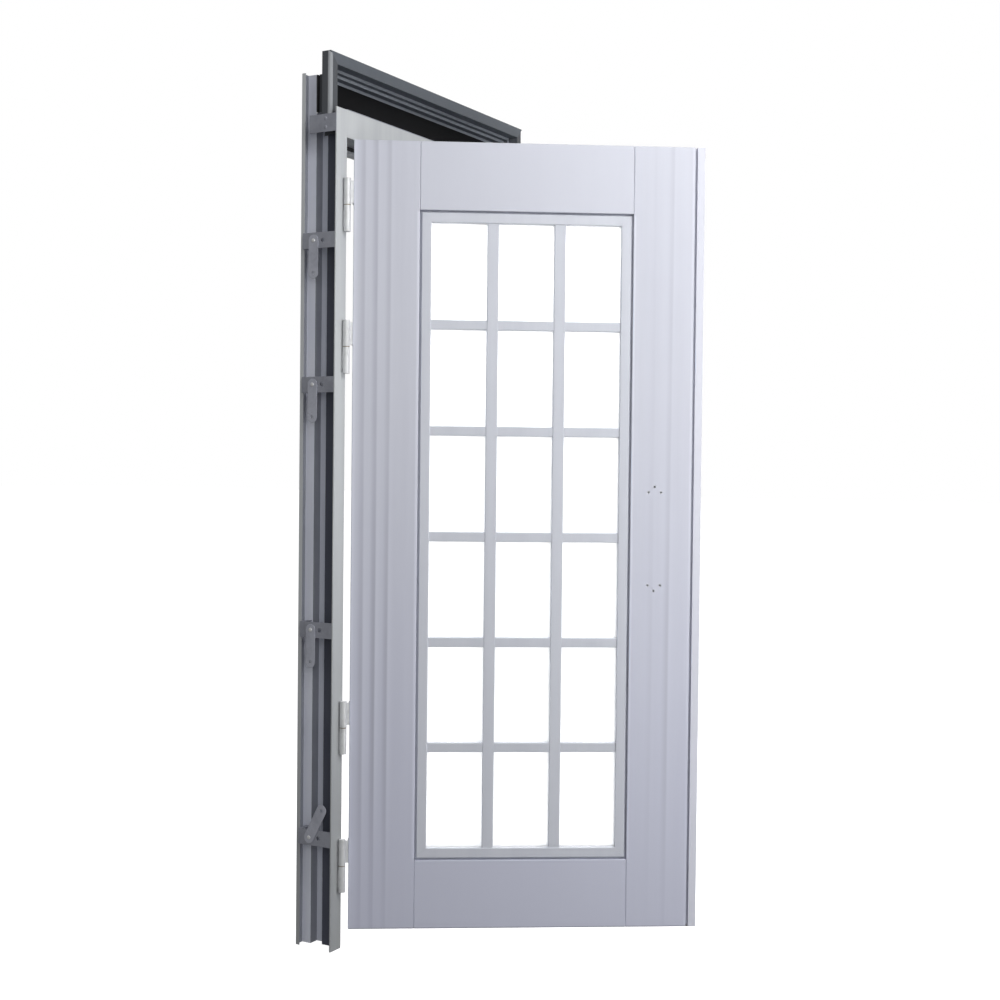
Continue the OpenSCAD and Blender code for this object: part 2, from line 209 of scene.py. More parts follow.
class Graph(NodeWork):
    """Node tree of one material, with a Principled shader at its end."""

    MIX_SHARE, MIX_FIRST, MIX_SECOND, MIX_RESULT = 0, 6, 7, 2

    def __init__(self, name: str) -> None:
        """Starts an empty material.

        Args:
            name: Name of the material.
        """
        self.material = bpy.data.materials.new(name)
        self.material.use_nodes = True
        super().__init__(self.material.node_tree)
        self.tree.nodes.clear()
        self.shader = self.node("ShaderNodeBsdfPrincipled")
        self.node("ShaderNodeOutputMaterial", sockets={"Surface": self.shader.outputs[0]})

    def place(self, turn_deg: float = 0.0, centre: Point = ORIGIN,
              stretch: Point = (1.0, 1.0, 1.0)) -> Socket:
        """Object coordinates, moved, turned about the upright axis and stretched.

        Args:
            turn_deg: Turn about Z that is taken out.
            centre: Point that becomes the origin.
            stretch: Scale of each turned axis.

        Returns:
            The vector socket.
        """
        source = self.node("ShaderNodeTexCoord").outputs["Object"]
        moved = self.node("ShaderNodeVectorMath", {"operation": "SUBTRACT"}, {0: source, 1: centre})
        turned = self.node("ShaderNodeVectorRotate", {"rotation_type": "Z_AXIS"},
                           {"Vector": moved.outputs[0], "Angle": math.radians(-turn_deg)})
        scaled = self.node("ShaderNodeVectorMath", {"operation": "MULTIPLY"},
                           {0: turned.outputs[0], 1: stretch})
        return scaled.outputs[0]

    def axis(self, vector: Socket, index: int) -> Signal:
        """One component of a vector.

        Args:
            vector: The vector socket.
            index: 0, 1 or 2.

        Returns:
            The component.
        """
        return Signal(self, self.node("ShaderNodeSeparateXYZ", sockets={0: vector}).outputs[index])

    def noise(self, vector: Socket, scale: float, detail: float = 3.0,
              rough: float = 0.5) -> Signal:
        """Noise value around 0.5.

        Args:
            vector: Coordinates.
            scale: Cells per unit.
            detail: Octaves.
            rough: Strength of the finer octaves.

        Returns:
            The noise.
        """
        node = self.node("ShaderNodeTexNoise", None,
                         {"Vector": vector, "Scale": scale, "Detail": detail, "Roughness": rough})
        return Signal(self, node.outputs["Fac"])

    def cells(self, vector: Socket, scale: float) -> Signal:
        """Random grey per cell of a Voronoi pattern.

        Args:
            vector: Coordinates.
            scale: Cells per unit.

        Returns:
            A value from 0 to 1 that is constant in a cell.
        """
        node = self.node("ShaderNodeTexVoronoi", {"feature": "F1"},
                         {"Vector": vector, "Scale": scale})
        return self.axis(node.outputs["Color"], 0)

    def mix(self, share: Value, first: Value, second: Value) -> Socket:
        """Blends two colours.

        Args:
            share: 0 gives the first, 1 the second.
            first: A colour or colour socket.
            second: A colour or colour socket.

        Returns:
            The colour socket.
        """
        node = self.node("ShaderNodeMix", {"data_type": "RGBA", "clamp_factor": True},
                         {self.MIX_SHARE: share, self.MIX_FIRST: first, self.MIX_SECOND: second})
        return node.outputs[self.MIX_RESULT]

    def bump(self, height: Signal, depth: float) -> Socket:
        """Normal of a bumpy surface.

        Args:
            height: Height signal, about 0 to 1.
            depth: Height in metres that a step of 1 stands for.

        Returns:
            The normal socket.
        """
        node = self.node("ShaderNodeBump", None,
                         {"Strength": 1.0, "Distance": depth, "Height": height})
        return node.outputs["Normal"]

    def finish(self, **sockets: Value) -> Material:
        """Feeds the shader and returns the material.

        Args:
            sockets: Shader inputs by name, with underscores for spaces.

        Returns:
            The finished material.
        """
        for name, value in sockets.items():
            self.feed(self.shader.inputs[name.replace("_", " ")], value)
        return self.material


def tinted(colour: Colour, gain: float) -> Colour:
    """A colour times a number, no brighter than white."""
    return tuple(min(1.0, part * gain) for part in colour)


@dataclass(frozen=True)
class Crease:
    """A soft upright crease in painted sheet, drawn as a dark line of painted shade with a painted
    highlight band beside it.
    """

    place: float
    depth: float


@dataclass(frozen=True)
class Rim:
    """A painted highlight along an upright edge, where a rounded fold would catch the light."""

    place: float
    reach: float
    strength: float
    low: float = -0.02
    high: float = 2.08


@dataclass(frozen=True)
class StreakedPaint:
    """Satin paint with soft upright streaks and a fine orange-peel surface, and painted shade and
    highlights at creases, edges and low down.
    """

    name: str
    tint: Colour
    shade: Colour
    turn_deg: float = 0.0
    origin: Point = ORIGIN
    streak: float = 0.5
    roughness: float = 0.42
    # Creases: painted shade on one side of each line and a painted highlight beside it, fading
    # towards the foot and the top.
    creases: tuple[Crease, ...] = ()
    crease_sway: float = 0.012
    crease_rise: Span = (-0.015, 0.0)
    crease_fall: Span = (0.0, 0.006)
    glint_fall: Span = (0.006, 0.02)
    crease_foot: Span = (0.0, 0.5)
    crease_top: Span = (0.7, 1.3)
    crease_top_loss: float = 0.75
    crease_shade_share: float = 0.5
    crease_shade_gain: float = 0.7
    glint_share: float = 0.2
    glint_gain: float = 1.3
    # Painted highlights along upright edges, where rounded folds would catch the light.
    edge_highlights: tuple[Rim, ...] = ()
    highlight_fade: float = 0.01
    highlight_gain: float = 1.35
    # A painted shade band along the bottom edge, where the lower fold is in shade.
    hem_shade: float = 0.0
    hem_shade_span: Span = (0.002, 0.0045)
    hem_shade_gain: float = 0.25
    # Painted shade towards the foot, where less light falls, broken up by the cloud.
    foot_shade: float = 0.0
    foot_shade_span: Span = (0.1, 1.15)
    foot_shade_gain: float = 0.2
    # Painted shade that makes the sheet darker and bluer towards the floor.
    cool_shade: float = 0.0
    cool_shade_span: Span = (0.1, 1.6)
    cool_shade_tint: Colour = (0.515, 0.533, 0.693)
    calm: float = 1.0
    drawn_out: float = 0.035
    relief: float = 0.00035

    def build(self) -> Material:
        """Builds the material.

        Returns:
            The material.
        """
        graph = Graph(self.name)
        leaf = graph.place(self.turn_deg, self.origin)
        tall = graph.place(self.turn_deg, self.origin, (1.0, 1.0, self.drawn_out))
        broad = graph.noise(tall, scale=26.0, detail=2.0)
        fine = graph.noise(tall, scale=210.0, detail=3.0, rough=0.6)
        cloud = graph.noise(leaf, scale=3.2, detail=3.0)
        peel = graph.noise(leaf, scale=950.0, detail=2.0)
        across, up = graph.axis(leaf, 0), graph.axis(leaf, 2)
        streaks = broad.band(0.3, 0.75) * 0.5 + fine.band(0.25, 0.8) * 0.2
        share = (streaks * self.calm + cloud * 0.3) * self.streak
        height = peel * 0.3 + (broad * 0.5 + fine * 0.12) * self.calm
        if self.creases:
            shade_lines, glints = self._crease_shading(across, graph.noise(tall, scale=9.0, detail=1.0))
            # The creases also darken the streak share as painted shade, and dent the bump.
            share = share + shade_lines * (0.55 + cloud * 0.8)
            height = height - shade_lines * (0.3 + cloud * 0.5)
        colour = graph.mix(share, self.tint, self.shade)
        colour = self._painted_light_and_shade(graph, colour, across, up, cloud)
        if self.creases:
            # Painted shade in each crease and a painted highlight beside it, strongest at mid
            # height.
            strength = up.band(*self.crease_foot)
            strength = strength * (1.0 - up.band(*self.crease_top) * self.crease_top_loss)
            colour = graph.mix(shade_lines * strength * self.crease_shade_share, colour,
                               tinted(self.shade, self.crease_shade_gain))
            colour = graph.mix(glints * strength * self.glint_share, colour,
                               tinted(self.tint, self.glint_gain))
        rough = self.roughness + (fine - 0.5) * 0.16 + (cloud - 0.5) * 0.1
        return graph.finish(Base_Color=colour, Roughness=rough,
                            Normal=graph.bump(height, self.relief))

    def _crease_shading(self, across: Signal, sway: Signal) -> tuple[Signal, Signal]:
        """Strength of the painted shade and the painted highlight of all creases at a place.

        Args:
            across: Place across the sheet.
            sway: Noise that lets the lines wander.

        Returns:
            The sum of the painted shade lines, and that of the painted highlight bands beside them.
        """
        shade_lines, glints = [], []
        for crease in self.creases:
            offset = across + (sway - 0.5) * self.crease_sway - crease.place
            fall = offset.band(*self.crease_fall)
            shade_lines.append(offset.band(*self.crease_rise) * (1.0 - fall) * crease.depth)
            glints.append(fall * (1.0 - offset.band(*self.glint_fall)) * crease.depth)
        return sum(shade_lines[1:], shade_lines[0]), sum(glints[1:], glints[0])

    def _painted_light_and_shade(self, graph: Graph, colour: Socket, across: Signal, up: Signal,
                   cloud: Signal) -> Socket:
        """Adds painted highlights along edges, a painted shade band at the hem, and painted shade
        towards the foot and, darker and bluer, towards the floor.

        Args:
            graph: The material's graph.
            colour: Colour so far.
            across: Place across the sheet.
            up: Height.
            cloud: Broad noise that breaks up the painted highlights and the shade at the foot.

        Returns:
            The colour with its painted highlights and shade.
        """
        # Painted highlight along each chosen edge.
        for rim in self.edge_highlights:
            rise = up.band(rim.low, rim.low + self.highlight_fade)
            span = rise * (1.0 - up.band(rim.high - self.highlight_fade, rim.high))
            near = 1.0 - abs(across - rim.place).band(0.0, rim.reach)
            painted_highlight = near * (0.6 + cloud * 0.8) * rim.strength * span
            colour = graph.mix(painted_highlight, colour, tinted(self.tint, self.highlight_gain))
        # Painted shade band at the hem.
        if self.hem_shade > 0.0:
            dark = (1.0 - up.band(*self.hem_shade_span)) * self.hem_shade
            colour = graph.mix(dark, colour, tinted(self.shade, self.hem_shade_gain))
        # Painted shade towards the foot, broken up by the cloud.
        if self.foot_shade > 0.0:
            dust = (1.0 - up.band(*self.foot_shade_span)) * (0.7 + cloud * 0.6) * self.foot_shade
            colour = graph.mix(dust, colour, tinted(self.shade, self.foot_shade_gain))
        # Darker, bluer painted shade towards the floor.
        if self.cool_shade > 0.0:
            cold_shade = (1.0 - up.band(*self.cool_shade_span)) * self.cool_shade
            colour = graph.mix(cold_shade, colour, self.cool_shade_tint)
        return colour


@dataclass(frozen=True)
class PlainPaint:
    """Even paint with a slight cloud, dust in streaks and a fine surface."""

    name: str
    tint: Colour
    dust: Colour
    roughness: float = 0.45
    dusty: float = 0.25
    gloss: float = 0.5
    drawn_out: float = 0.12
    relief: float = 0.00018

    def build(self) -> Material:
        """Builds the material.

        Returns:
            The material.
        """
        graph = Graph(self.name)
        place = graph.place()
        cloud = graph.noise(place, scale=6.0, detail=4.0)
        drawn = graph.place(stretch=(1.0, 1.0, self.drawn_out))
        run = graph.noise(drawn, scale=60.0, detail=3.0)
        peel = graph.noise(place, scale=1100.0, detail=2.0)
        share = (cloud.band(0.35, 0.75) * 0.6 + run.band(0.4, 0.8) * 0.4) * self.dusty
        rough = self.roughness + (cloud - 0.5) * 0.2 + (run - 0.5) * 0.12
        return graph.finish(Base_Color=graph.mix(share, self.tint, self.dust), Roughness=rough,
                            Specular_IOR_Level=self.gloss,
                            Normal=graph.bump(peel + cloud, self.relief))


@dataclass(frozen=True)
class Galvanised:
    """Zinc-coated sheet with a crystal pattern, grime and scratches."""

    name: str
    tint: Colour
    grime: Colour
    spangle: float = 130.0
    roughness: float = 0.42
    metallic: float = 0.25
    drawn_out: float = 0.06
    relief: float = 0.00012

    def build(self) -> Material:
        """Builds the material.

        Returns:
            The material.
        """
        graph = Graph(self.name)
        place = graph.place()
        crystal = graph.cells(place, self.spangle)
        cloud = graph.noise(place, scale=14.0, detail=5.0, rough=0.6)
        drawn = graph.place(stretch=(1.0, self.drawn_out, 1.0))
        scratch = graph.noise(drawn, scale=900.0, detail=2.0)
        colour = graph.mix(cloud.band(0.38, 0.78) * 0.7 + crystal * 0.18, self.tint, self.grime)
        rough = self.roughness + (crystal - 0.5) * 0.22 + (cloud - 0.5) * 0.3
        return graph.finish(Base_Color=colour, Metallic=self.metallic, Roughness=rough,
                            Normal=graph.bump(scratch * 0.5 + crystal * 0.3, self.relief))


@dataclass(frozen=True)
class TurnedSteel:
    """Bright steel with fine turning marks round an upright axis and a little soil."""

    name: str
    tint: Colour
    soil: Colour
    roughness: float = 0.28
    metallic: float = 1.0
    drawn_out: float = 0.05
    relief: float = 0.00008

    def build(self) -> Material:
        """Builds the material.

        Returns:
            The material.
        """
        graph = Graph(self.name)
        turned = graph.place(stretch=(self.drawn_out, self.drawn_out, 1.0))
        rings = graph.noise(turned, scale=2600.0, detail=2.0)
        cloud = graph.noise(graph.place(), scale=55.0, detail=4.0)
        colour = graph.mix(cloud.band(0.45, 0.85) * 0.6, self.tint, self.soil)
        rough = self.roughness + (rings - 0.5) * 0.18 + cloud.band(0.4, 0.9) * 0.2
        return graph.finish(Base_Color=colour, Metallic=self.metallic, Roughness=rough,
                            Normal=graph.bump(rings, self.relief))


@dataclass(frozen=True)
class Rubber:
    """Matt black rubber with a bloom of dust."""

    name: str
    tint: Colour = (0.022, 0.023, 0.025)
    bloom: Colour = (0.07, 0.07, 0.072)
    roughness: float = 0.62
    relief: float = 0.0001

    def build(self) -> Material:
        """Builds the material.

        Returns:
            The material.
        """
        graph = Graph(self.name)
        place = graph.place()
        cloud = graph.noise(place, scale=40.0, detail=4.0)
        grain = graph.noise(place, scale=1600.0, detail=2.0)
        colour = graph.mix(cloud.band(0.4, 0.8) * 0.7, self.tint, self.bloom)
        return graph.finish(Base_Color=colour, Roughness=self.roughness + (cloud - 0.5) * 0.2,
                            Normal=graph.bump(grain, self.relief))


@dataclass(frozen=True)
class SatinGlass:
    """White satin glass that lets light through, hides what is behind it and glows a little as a
    painted backlight.
    """

    name: str
    tint: Colour = (0.995, 0.998, 0.998)
    cloud: Colour = (0.97, 0.98, 0.985)
    clear: float = 0.85
    bend: float = 1.45
    blur: float = 0.62
    # Emission strength of the painted backlight.
    backlight_glow: float = 0.14

    def build(self) -> Material:
        """Builds the material.

        Returns:
            The material.
        """
        graph = Graph(self.name)
        place = graph.place()
        haze = graph.noise(place, scale=7.0, detail=4.0)
        etch = graph.noise(place, scale=1800.0, detail=2.0)
        rough = self.blur + (etch - 0.5) * 0.1 + (haze - 0.5) * 0.06
        # The emission is a painted backlight that makes the pane glow a little.
        return graph.finish(Base_Color=graph.mix(haze, self.tint, self.cloud), Roughness=rough,
                            Transmission_Weight=self.clear, IOR=self.bend,
                            Emission_Color=(1.0, 1.0, 1.0), Emission_Strength=self.backlight_glow)


@dataclass(frozen=True)
class Palette:
    """The door's finishes, built once each."""

    leaf: Material
    rail: Material
    strip: Material
    bar: Material
    frame: Material
    lining: Material
    lit_web: Material
    tail: Material
    hollow_shade: Material
    over: Material
    step: Material
    side: Material
    painted_highlight: Material
    panel: Material
    sheet: Material
    strap: Material
    steel: Material
    brass: Material
    seal: Material
    glass: Material

    @classmethod
    def mixed(cls) -> "Palette":
        """Mixes every finish of the door.

        Returns:
            The finishes by name.
        """
        on_leaf = {"turn_deg": -OPEN_DEG, "origin": tuple(leaf_matrix() @ Vector(ORIGIN))}
        # The leaf skin gets a painted shade band at its hem and darker, bluer painted shade towards
        # the floor.
        skin = {"tint": (0.59, 0.605, 0.68), "shade": (0.48, 0.49, 0.57),
                "hem_shade": 0.75, "cool_shade": 0.4, **on_leaf}
        dark = {"roughness": 0.58, "dusty": 0.4, "gloss": 0.22}
        creases = (Crease(0.060, 0.95), Crease(0.094, 0.7), Crease(0.028, 0.65),
                   Crease(0.832, 0.42), Crease(0.787, 0.12))
        # Painted highlights along the hinge edge, the stiles' inner edges and the lock stile's edge
        # by the groove.
        edge_highlights = (Rim(0.0, 0.016, 0.5), Rim(0.1685, 0.0055, 0.6, 0.178, 1.88),
                Rim(0.7345, 0.0055, 0.42, 0.178, 1.88), Rim(0.8885, 0.005, 0.35))
        finishes = {
            "leaf": StreakedPaint("leaf_paint", streak=0.4, creases=creases, edge_highlights=edge_highlights, **skin),
            "rail": StreakedPaint("rail_paint", streak=0.32, calm=0.25, **skin),
            # The edge strip is painted lighter than the leaf, as painted light where it would catch
            # the light from the side.
            "strip": StreakedPaint("edge_strip_lit_paint", (0.66, 0.672, 0.75), (0.57, 0.582, 0.66),
                                   streak=0.3, roughness=0.36, **on_leaf),
            "bar": StreakedPaint("glazing_bar_paint", (0.61, 0.63, 0.69), (0.512, 0.53, 0.602),
                                 streak=0.5, roughness=0.4, **on_leaf),
            # The frame gets painted shade towards its foot.
            "frame": StreakedPaint("frame_paint", (0.595, 0.617, 0.625), (0.44, 0.453, 0.485),
                                   streak=0.6, foot_shade=0.4),
            "lining": PlainPaint("frame_lining", (0.325, 0.34, 0.39), (0.415, 0.43, 0.485),
                                 roughness=0.55, dusty=0.6, gloss=0.3),
            # Lit copy of the lining on the wall-side webs, brighter as painted light for the shaded
            # channel.
            "lit_web": PlainPaint("frame_web_lit", (0.66, 0.69, 0.79), (0.79, 0.82, 0.9),
                              roughness=0.5, dusty=0.6),
            # Lighter still at the rear flange, partly for its protective film and partly as painted
            # light.
            "tail": PlainPaint("frame_tail_film_and_lit", (0.79, 0.815, 0.905), (0.9, 0.91, 0.97),
                               roughness=0.5, dusty=0.6),
            # Near-black painted shade in the hollow behind the front lip.
            "hollow_shade": PlainPaint("frame_hollow_shade", (0.08, 0.087, 0.117), (0.128, 0.135, 0.168),
                                 roughness=0.7, dusty=0.5, gloss=0.2),
            "over": PlainPaint("over_frame_paint", (0.105, 0.118, 0.137), (0.15, 0.16, 0.18),
                               **dark),
            # Lit copy of the over frame paint on the inner step faces, as painted light.
            "step": PlainPaint("over_step_lit_paint", (0.27, 0.295, 0.33), (0.34, 0.36, 0.39), **dark),
            # Darker copy of the over frame paint on the legs, as painted shade.
            "side": PlainPaint("over_side_shaded_paint", (0.083, 0.09, 0.1), (0.115, 0.12, 0.13), **dark),
            # Pale paint on the legs' rounded outer corner, as a painted highlight.
            "painted_highlight": PlainPaint("over_fold_highlight_paint", (0.3, 0.315, 0.335), (0.4, 0.41, 0.42),
                               roughness=0.5, dusty=0.5, gloss=0.3),
            # Near-black panel paint that stands for the shaded cavity above the doorway, as painted
            # shade.
            "panel": PlainPaint("over_panel_black", (0.006, 0.006, 0.007), (0.014, 0.015, 0.017),
                                roughness=0.5, dusty=0.5, gloss=0.12),
            "sheet": Galvanised("galvanised_sheet", (0.355, 0.368, 0.42), (0.225, 0.234, 0.275)),
            "strap": Galvanised("strap_sheet", (0.516, 0.531, 0.603), (0.344, 0.357, 0.414),
                                spangle=160.0),
            "steel": TurnedSteel("hinge_steel", (0.76, 0.77, 0.78), (0.5, 0.5, 0.51),
                                 roughness=0.42, metallic=0.4),
            "brass": TurnedSteel("washer_brass", (0.3, 0.25, 0.17), (0.14, 0.11, 0.07),
                                 roughness=0.5),
            "seal": Rubber("seal_rubber"),
            # The satin glass glows a little, as a painted backlight.
            "glass": SatinGlass("satin_glass"),
        }
        return cls(**{key: finish.build() for key, finish in finishes.items()})


def leaf_matrix() -> Matrix:
    """Turns leaf coordinates (x from hinge edge, y through the leaf, z up) into the row frame."""
    turn = Matrix.Rotation(math.radians(-OPEN_DEG), 4, "Z")
    return Matrix.Translation(HINGE_AXIS) @ turn @ Matrix.Translation(LEAF_CORNER - HINGE_AXIS)


def placed(data: bpy.types.ID, name: str) -> Piece:
    """Puts a mesh, a light or a camera into the scene as an object.

    Args:
        data: The mesh, light or camera.
        name: Name of the object.

    Returns:
        The object.
    """
    made = bpy.data.objects.new(name, data)
    bpy.context.scene.collection.objects.link(made)
    return made


def linked(shape: bmesh.types.BMesh, name: str) -> Piece:
    """Turns a working mesh into an object in the scene.

    Args:
        shape: The mesh, which is freed.
        name: Name of the object.

    Returns:
        The object.
    """
    mesh = bpy.data.meshes.new(name)
    shape.to_mesh(mesh)
    shape.free()
    return placed(mesh, name)


def points_object(points: Sequence[Point], name: str) -> Piece:
    """An object whose mesh is loose points.

    Args:
        points: Their places in the row frame.
        name: Name of the object.

    Returns:
        The object.
    """
    mesh = bpy.data.meshes.new(name)
    mesh.from_pydata(points, [], [])
    return placed(mesh, name)


def merged_copy(node: str, name: str) -> Piece:
    """Copies a CAD node into a new object with joined faces.

    Args:
        node: Name of the node.
        name: Name of the new object.

    Returns:
        The object, linked to the scene.
    """
    shape = bmesh.new()
    shape.from_mesh(frame["nodes"][node].data)
    bmesh.ops.remove_doubles(shape, verts=shape.verts, dist=WELD_DISTANCE)
    bmesh.ops.dissolve_limit(shape, angle_limit=FLAT_ANGLE, verts=shape.verts, edges=shape.edges)
    return linked(shape, name)


def paint(piece: Piece, *finishes: Material) -> None:
    """Gives a piece its finishes, in the order of their numbers.

    Args:
        piece: The piece.
        finishes: The finishes.
    """
    piece.data.materials.clear()
    for finish in finishes:
        piece.data.materials.append(finish)


def full_share(middle: Vector) -> float:
    """Share of an edge that is rounded in full."""
    return 1.0


@dataclass(frozen=True)
class Rounding:
    """How a piece's edges are rounded; short ones stay sharp, and so may slanting ones."""

    width: float = 0.0006
    segments: int = 2
    shortest: float = 0.0
    slanting: bool = True
    level: float = 0.2
    upright: float = 0.98

    def rounds(self, run: Vector) -> bool:
        """Tells whether a sharp edge is rounded.

        Args:
            run: From the edge's start to its end.

        Returns:
            True if it is rounded.
        """
        lean = abs(run.z) / max(run.length, WELD_DISTANCE)
        slants = self.level < lean < self.upright
        return run.length >= self.shortest and (self.slanting or not slants)

    def apply(self, piece: Piece, share: Callable[[Vector], float] = full_share) -> None:
        """Rounds the edges of a piece, shades its flat faces evenly and leaves a plain mesh.

        Args:
            piece: The piece.
            share: Share of the width that an edge gets, from the place of its middle.
        """
        shape = bmesh.new()
        shape.from_mesh(piece.data)
        weight = shape.edges.layers.float.new("bevel_weight_edge")
        for face in shape.faces:
            face.smooth = True
        for edge in shape.edges:
            if edge.calc_face_angle(0.0) < SHARP_ANGLE:
                continue
            start, end = (vert.co for vert in edge.verts)
            if self.rounds(end - start):
                edge[weight] = share((start + end) / 2.0)
            else:
                edge.smooth = False
        shape.to_mesh(piece.data)
        shape.free()
        self._add_modifiers(piece)
        mesh = evaluated_mesh(piece)
        piece.modifiers.clear()
        piece.data = mesh

    def _add_modifiers(self, piece: Piece) -> None:
        """Adds the rounding, a weld that clears faces without area, and even shading.

        Args:
            piece: The piece.
        """
        bevel = piece.modifiers.new("edge_rounding", "BEVEL")
        bevel.width = self.width
        bevel.segments = self.segments
        bevel.limit_method = "WEIGHT"
        bevel.use_clamp_overlap = True
        joining = piece.modifiers.new("sliver_joining", "WELD")
        joining.merge_threshold = WELD_DISTANCE
        shading = piece.modifiers.new("even_shading", "WEIGHTED_NORMAL")
        shading.keep_sharp = True


def evaluated_mesh(piece: Piece) -> bpy.types.Mesh:
    """A plain mesh of a piece with its modifiers applied."""
    graph = bpy.context.evaluated_depsgraph_get()
    return bpy.data.meshes.new_from_object(piece.evaluated_get(graph))


def settle(piece: Piece, body: Body, slot: Slot, *nodes: str) -> None:
    """Ties a finished piece to its body and hides the CAD nodes it stands for.

    Args:
        piece: The piece, in place.
        body: Body it rides on.
        slot: Not used.
        nodes: CAD nodes that it replaces.
    """
    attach(piece, body.value)
    if nodes:
        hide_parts(*nodes)
    LOG.info("%s rides on %s with %d faces", piece.name, body.value, len(piece.data.polygons))


def dressed(node: str, name: str, body: Body, slot: Slot, finish: Material,
            edges: Rounding) -> None:
    """Makes the rounded and painted piece that stands for one CAD node.

    Args:
        node: Name of the CAD node.
        name: Name of the piece.
        body: Body that it rides on.
        slot: Material slot of the record.
        finish: Its finish.
        edges: How its edges are rounded.
    """
    piece = merged_copy(node, name)
    paint(piece, finish)
    edges.apply(piece)
    settle(piece, body, slot, node)


class Repeat(NodeWork):
    """A Geometry Nodes tree that sets one small shape on every point of a mesh."""

    def __init__(self, name: str) -> None:
        """Starts the tree with its geometry sockets.

        Args:
            name: Name of the tree.
        """
        super().__init__(bpy.data.node_groups.new(name, "GeometryNodeTree"))
        for way in ("INPUT", "OUTPUT"):
            self.tree.interface.new_socket("Geometry", in_out=way, socket_type="NodeSocketGeometry")
        self.entry = self.node("NodeGroupInput")
        self.exit = self.node("NodeGroupOutput")
        self.sizes: dict[str, str] = {}

    def size(self, name: str) -> Socket:
        """Adds a named length input.

        Args:
            name: Name of the input.

        Returns:
            The socket that carries it inside the tree.
        """
        item = self.tree.interface.new_socket(name, in_out="INPUT", socket_type="NodeSocketFloat")
        item.subtype = "DISTANCE"
        self.sizes[name] = item.identifier
        return self.entry.outputs[name]

    def times(self, value: Socket, factor: float) -> Socket:
        """A value times a number."""
        product = self.node("ShaderNodeMath", {"operation": "MULTIPLY"}, {0: value, 1: factor})
        return product.outputs[0]

    def vector(self, x: "Value" = 0.0, y: "Value" = 0.0, z: "Value" = 0.0) -> Socket:
        """A vector from its three parts."""
        return self.node("ShaderNodeCombineXYZ", None, {0: x, 1: y, 2: z}).outputs[0]

    def spot(self, index: int) -> Socket:
        """One coordinate of each point of the mesh at hand."""
        place = self.node("GeometryNodeInputPosition").outputs[0]
        return self.node("ShaderNodeSeparateXYZ", None, {0: place}).outputs[index]

    def transformed(self, shape: Socket, **change: Socket) -> Socket:
        """A shape that is moved by its Translation, or stretched by its Scale."""
        return self.node("GeometryNodeTransform", None, {"Geometry": shape, **change}).outputs[0]

    def dome(self, radius: Socket, height: Socket, segments: int) -> Socket:
        """A ball that is flattened to a height.

        Args:
            radius: Its radius.
            height: Half its height.
            segments: Steps round it.

        Returns:
            The shape.
        """
        ball = self.node("GeometryNodeMeshUVSphere", None,
                         {"Segments": segments, "Rings": segments // 2, "Radius": 1.0}).outputs[0]
        return self.transformed(ball, Scale=self.vector(radius, radius, height))

    def close(self, shape: Socket, rotation: "Value", finish: Material) -> None:
        """Ends the tree with one shape on every point, as real meshes in one finish.

        Args:
            shape: The shape.
            rotation: How it is turned at a point.
            finish: Its finish.
        """
        points = self.entry.outputs["Geometry"]
        put = self.node("GeometryNodeInstanceOnPoints", None,
                        {"Points": points, "Instance": shape, "Rotation": rotation})
        real = self.node("GeometryNodeRealizeInstances", None, {"Geometry": put.outputs[0]})
        painted = self.node("GeometryNodeSetMaterial", None,
                            {"Geometry": real.outputs[0], "Material": finish})
        self.feed(self.exit.inputs[0], painted.outputs[0])

    def run(self, points: Sequence[Point], values: dict[str, float], name: str,
            smooth: bool = True) -> Piece:
        """Runs the tree on points and returns its result as a plain mesh.

        Args:
            points: Places in the row frame.
            values: Lengths for the named inputs.
            name: Name of the result.
            smooth: Whether its faces are shaded as one curved surface.

        Returns:
            The new object.
        """
        carrier = points_object(points, name)
        modifier = carrier.modifiers.new("repeat", "NODES")
        modifier.node_group = self.tree
        for key, value in values.items():
            modifier[self.sizes[key]] = value
        mesh = evaluated_mesh(carrier)
        mesh.name = name
        bpy.data.objects.remove(carrier)
        made = placed(mesh, name)
        for polygon in made.data.polygons:
            polygon.use_smooth = smooth
        return made


class JambFace(IntEnum):
    """Kinds of face on a jamb, by the number of their finish: the outside paint, the lining, a lit
    copy of the lining on the webs, a lighter copy at the rear that is partly its film and partly
    painted light, and painted shade in the hollow.
    """

    OUTSIDE = 0
    LINING = 1
    LIT_WEB = 2
    HOLLOW_SHADE = 3
    FILMED_AND_LIT_TAIL = 4


